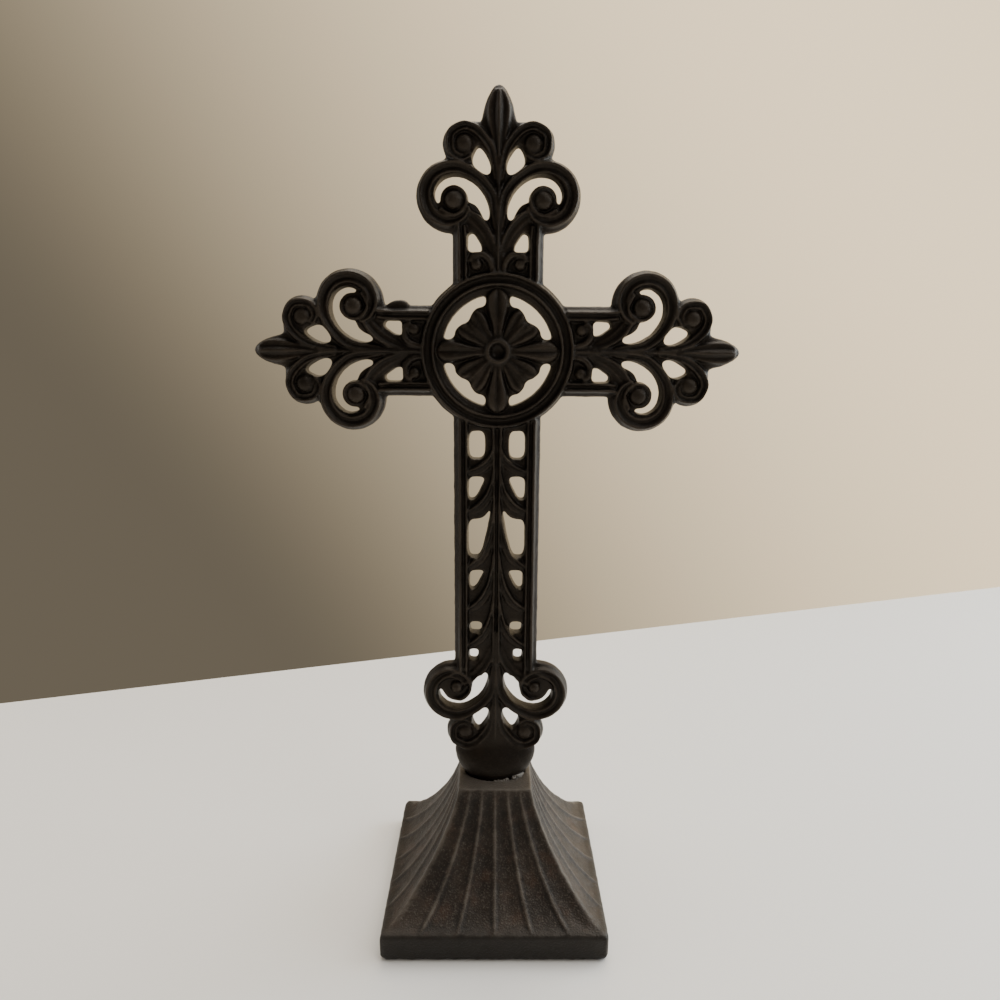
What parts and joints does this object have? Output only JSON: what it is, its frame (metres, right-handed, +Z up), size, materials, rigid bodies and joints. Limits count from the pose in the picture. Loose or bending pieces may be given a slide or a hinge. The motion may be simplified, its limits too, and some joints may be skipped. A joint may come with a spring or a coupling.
{
  "type": "standing table cross",
  "caption": "Openwork cast-iron cross with leaf-scroll ends and a ringed rosette, standing by a bowl-shaped foot in a flared, ribbed square base.",
  "frame": {"origin": "centre of the base's underside, on the surface the object stands on", "axes": "+Z up the shaft, +X along the arms to the viewer's right, the carved front faces -Y"},
  "size_m": [0.188, 0.09, 0.33],
  "materials": {
    "cross_iron": "dark brown-black, matt, sand-cast skin with worn edges",
    "base_iron": "dark brown, matt, sand-cast skin with fine speckle"
  },
  "bodies": {
    "root": {"cross": "cross_iron", "base": "base_iron"}
  },
  "joints": []
}
